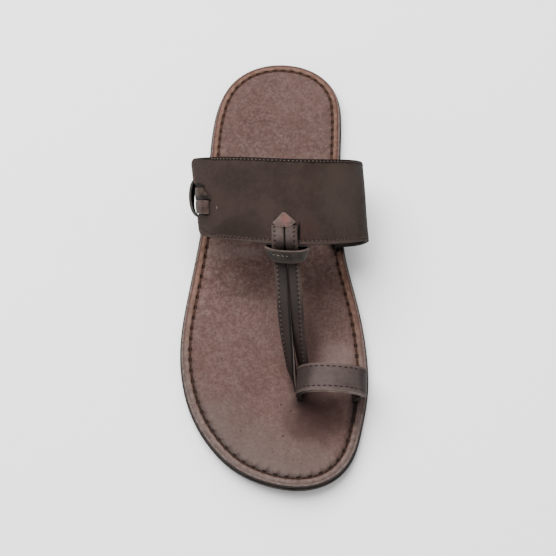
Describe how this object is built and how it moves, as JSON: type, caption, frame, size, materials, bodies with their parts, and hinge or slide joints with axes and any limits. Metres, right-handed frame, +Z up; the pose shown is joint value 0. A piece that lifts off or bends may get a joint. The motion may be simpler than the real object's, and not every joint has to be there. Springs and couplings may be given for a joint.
{
  "type": "leather sandal",
  "caption": "Flat leather sandal for the right foot: stitched sole, wide instep band, split toe strap in a small loop, big-toe ring and a split strap at the outer side.",
  "frame": {"origin": "on the flat underside of the outsole, below the instep band, half way along the shoe to within 10 mm", "axes": "+Y towards the heel, -Y towards the toes, +X towards the inner side of the foot, +Z up"},
  "size_m": [0.1091, 0.2745, 0.0737],
  "materials": {
    "outsole_leather": "dark, pressed, dull",
    "footbed_leather": "pinkish brown, faintly mottled, satin",
    "strap_leather": "dark grey brown, smooth, satin",
    "loop_leather": "dark grey brown, smooth, satin"
  },
  "bodies": {
    "root": {"outsole": "outsole_leather", "insole": "footbed_leather", "upper": "strap_leather", "front_keeper": "loop_leather", "side_keeper": "loop_leather"}
  },
  "joints": []
}
